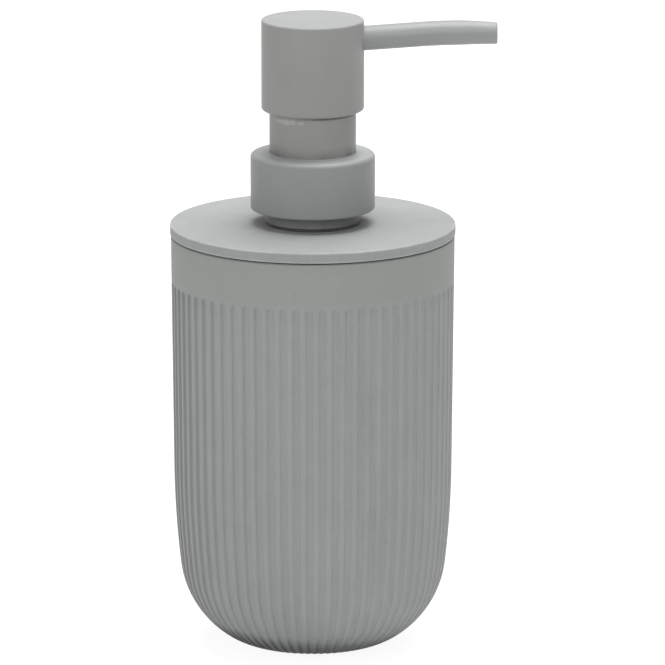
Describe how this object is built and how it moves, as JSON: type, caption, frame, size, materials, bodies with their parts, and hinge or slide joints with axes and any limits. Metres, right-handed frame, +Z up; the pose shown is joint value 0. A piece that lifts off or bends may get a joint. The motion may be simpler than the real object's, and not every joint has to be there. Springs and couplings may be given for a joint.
{
  "type": "soap pump dispenser",
  "caption": "Counter-top soap dispenser: a fluted cast cup with a rounded foot, a flat disc lid and a screw-on lotion pump with a slim arched spout.",
  "frame": {"origin": "on the cup's axis, on the surface that it stands on, at the middle of the base pad's underside", "axes": "+Z up along the axis of the cup and the pump, +X the way the spout points at rest, -Y towards someone who sees the spout point right"},
  "size_m": [0.0861, 0.0754, 0.1684],
  "materials": {
    "cast_stone": "matte cast resin and stone powder, fine pores",
    "pump_grey": "matte grey lacquer",
    "neck_grey": "matte grey moulding",
    "black_rubber": "soft black rubber",
    "seal_grey": "dark grey bonding seal",
    "pad_black": "dark foam rubber",
    "nut_white": "white nylon",
    "natural_plastic": "natural polypropylene",
    "clear_tube": "cloudy translucent polyethylene",
    "bright_steel": "drawn stainless wire",
    "ball_steel": "polished stainless ball",
    "seal_white": "white soft sealing plastic"
  },
  "bodies": {
    "bottle": {"cup": "cast_stone", "base_pad": "pad_black", "lid_seal": "seal_grey", "lid": "cast_stone", "neck_washer": "black_rubber", "neck_insert": "neck_grey", "neck_nut": "nut_white"},
    "gasket": {"flange_gasket": "seal_white"},
    "pump": {"pump_cylinder": "natural_plastic", "guide_sleeve": "pump_grey", "chaplet": "natural_plastic", "return_spring": "bright_steel", "dip_tube": "clear_tube"},
    "valve_ball": {"inlet_ball": "ball_steel"},
    "collar": {"closure_shell": "pump_grey", "closure_cap": "natural_plastic"},
    "plunger": {"stem": "natural_plastic", "piston": "seal_white", "outlet_valve": "natural_plastic"},
    "head": {"head_shell": "pump_grey", "head_core": "natural_plastic", "spout_tube": "pump_grey"}
  },
  "joints": [
    {"name": "pump_lift", "type": "slide", "parent": "bottle", "child": "gasket", "axis": [0, 0, 1], "range_m": [0, 0.12]},
    {"name": "pump_rise", "type": "slide", "parent": "gasket", "child": "pump", "axis": [0, 0, 1], "range_m": [0, 0.00636]},
    {"name": "collar_turn", "type": "hinge", "parent": "pump", "child": "collar", "pos_m": [0, 0, 0.1255], "axis": [0, 0, 1], "range_deg": [0, 540]},
    {"name": "pump_stroke", "type": "slide", "parent": "pump", "child": "plunger", "axis": [0, 0, -1], "range_m": [0, 0.011], "stiffness_N_per_m": 500, "springref_m": -0.01, "deforming": ["return_spring"]},
    {"name": "head_turn", "type": "hinge", "parent": "plunger", "child": "head", "pos_m": [0, 0, 0.155], "axis": [0, 0, 1], "continuous": true},
    {"name": "inlet_ball_lift", "type": "slide", "parent": "pump", "child": "valve_ball", "axis": [0, 0, 1], "range_m": [0, 0.0012]}
  ],
  "couplings": [
    {"joint": "pump_rise", "follows": "collar_turn", "m_per_rad": 0.00067376}
  ]
}
